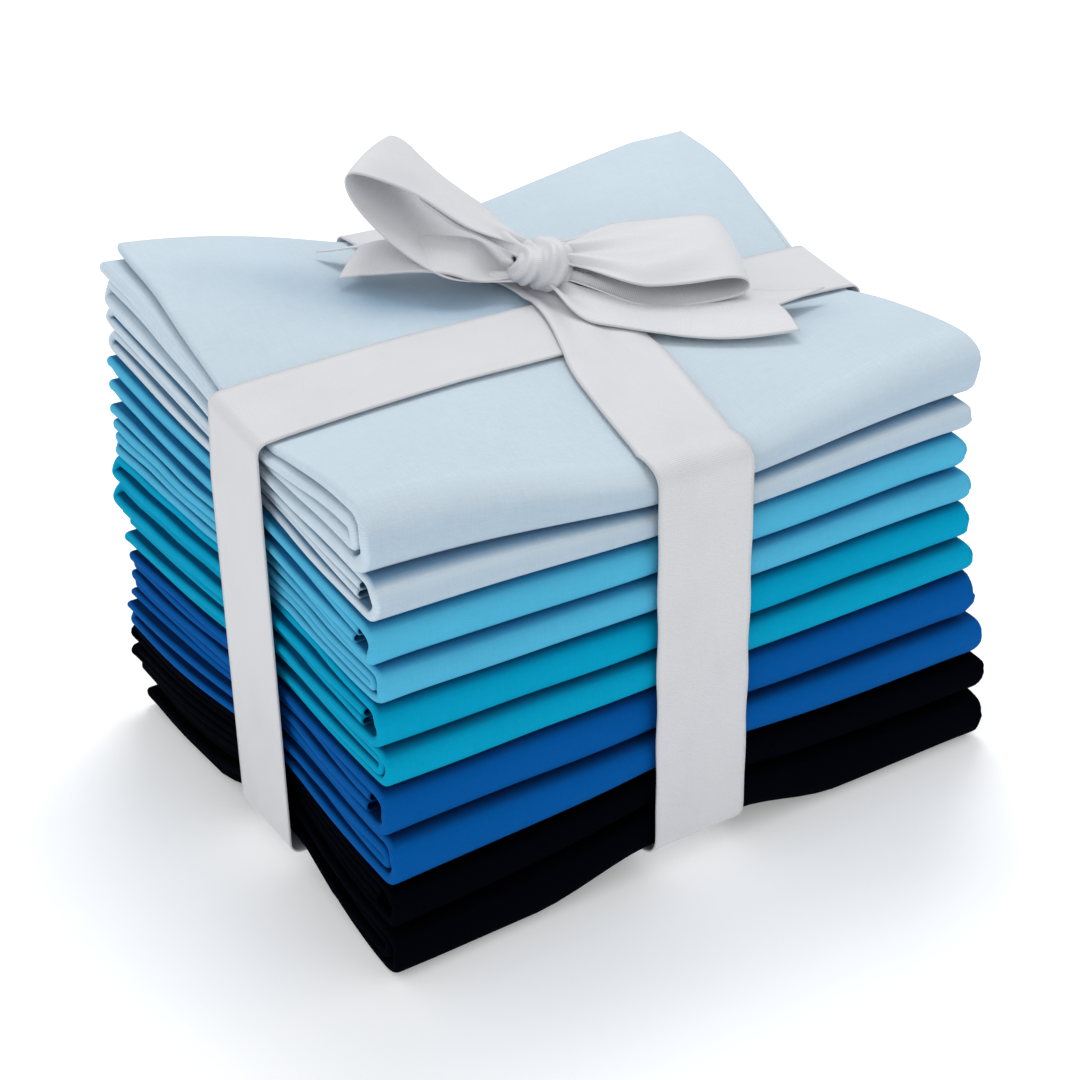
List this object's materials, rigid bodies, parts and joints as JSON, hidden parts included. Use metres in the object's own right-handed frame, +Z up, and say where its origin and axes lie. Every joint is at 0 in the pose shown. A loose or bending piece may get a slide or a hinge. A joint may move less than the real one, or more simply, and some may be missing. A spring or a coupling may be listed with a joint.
{
  "type": "fat quarter bundle",
  "caption": "Stack of folded plain cotton cloths in shades of blue from ice to black, tied crosswise with a white satin ribbon and a bow.",
  "frame": {"origin": "middle of the bounding box at the surface the stack rests on", "axes": "+X along the long folded front edge to the right, +Y from that edge to the back, +Z up"},
  "size_m": [0.178, 0.1407, 0.1443],
  "materials": {
    "cotton_black": "matte plain-weave cotton",
    "cotton_royal": "matte plain-weave cotton",
    "cotton_teal": "matte plain-weave cotton",
    "cotton_aqua": "matte plain-weave cotton",
    "cotton_ice": "matte plain-weave cotton",
    "ribbon": "white satin ribbon with a soft sheen"
  },
  "bodies": {
    "root": {"quarter_10": "cotton_black", "quarter_09": "cotton_black", "quarter_08": "cotton_royal", "quarter_07": "cotton_royal", "quarter_06": "cotton_teal", "quarter_05": "cotton_teal", "quarter_04": "cotton_aqua", "quarter_03": "cotton_aqua", "quarter_02": "cotton_ice", "quarter_01": "cotton_ice", "ribbon_over_ends": "ribbon", "ribbon_over_front": "ribbon", "bow_knot": "ribbon", "bow_loop_left": "ribbon", "bow_loop_right": "ribbon", "ribbon_tail_left": "ribbon", "ribbon_tail_right": "ribbon"}
  },
  "joints": []
}
